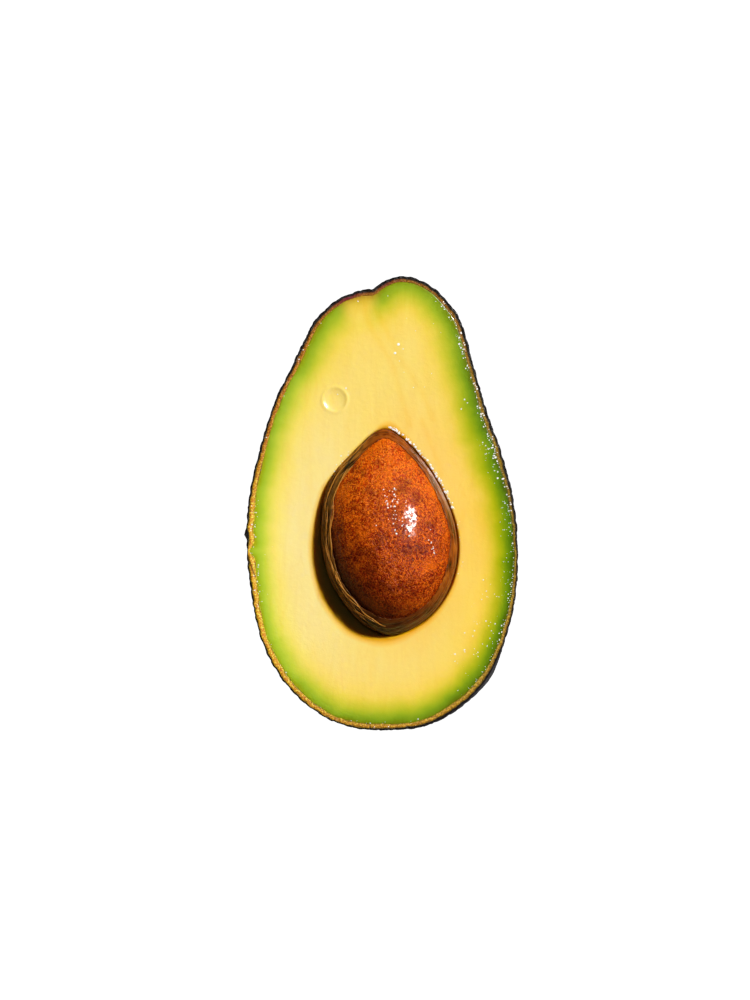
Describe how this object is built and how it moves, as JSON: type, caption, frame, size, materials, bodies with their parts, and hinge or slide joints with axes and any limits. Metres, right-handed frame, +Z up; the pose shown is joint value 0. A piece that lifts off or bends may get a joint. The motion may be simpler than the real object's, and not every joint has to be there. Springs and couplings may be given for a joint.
{
  "type": "avocado half",
  "caption": "Ripe avocado cut lengthwise, lying on its rounded back with the cut face up and the stone still seated in the flesh, for food scenes and still lifes.",
  "frame": {"origin": "centre of the half's box in plan, at the surface the half lies on", "axes": "+Y along the fruit towards its stem end; +Z up, out of the cut face; +X to the right when the stem end points away"},
  "size_m": [0.0654, 0.1097, 0.046],
  "materials": {
    "peel": "pebbled, almost black peel with a satin shine",
    "flesh": "moist pale yellow flesh, green towards the peel",
    "seed_coat": "thin, torn, tan to brown and papery",
    "stone": "smooth, glossy orange-brown with fine darker flecks"
  },
  "bodies": {
    "root": {"peel": "peel", "flesh": "flesh", "seed_coat": "seed_coat", "stone": "stone"}
  },
  "joints": []
}
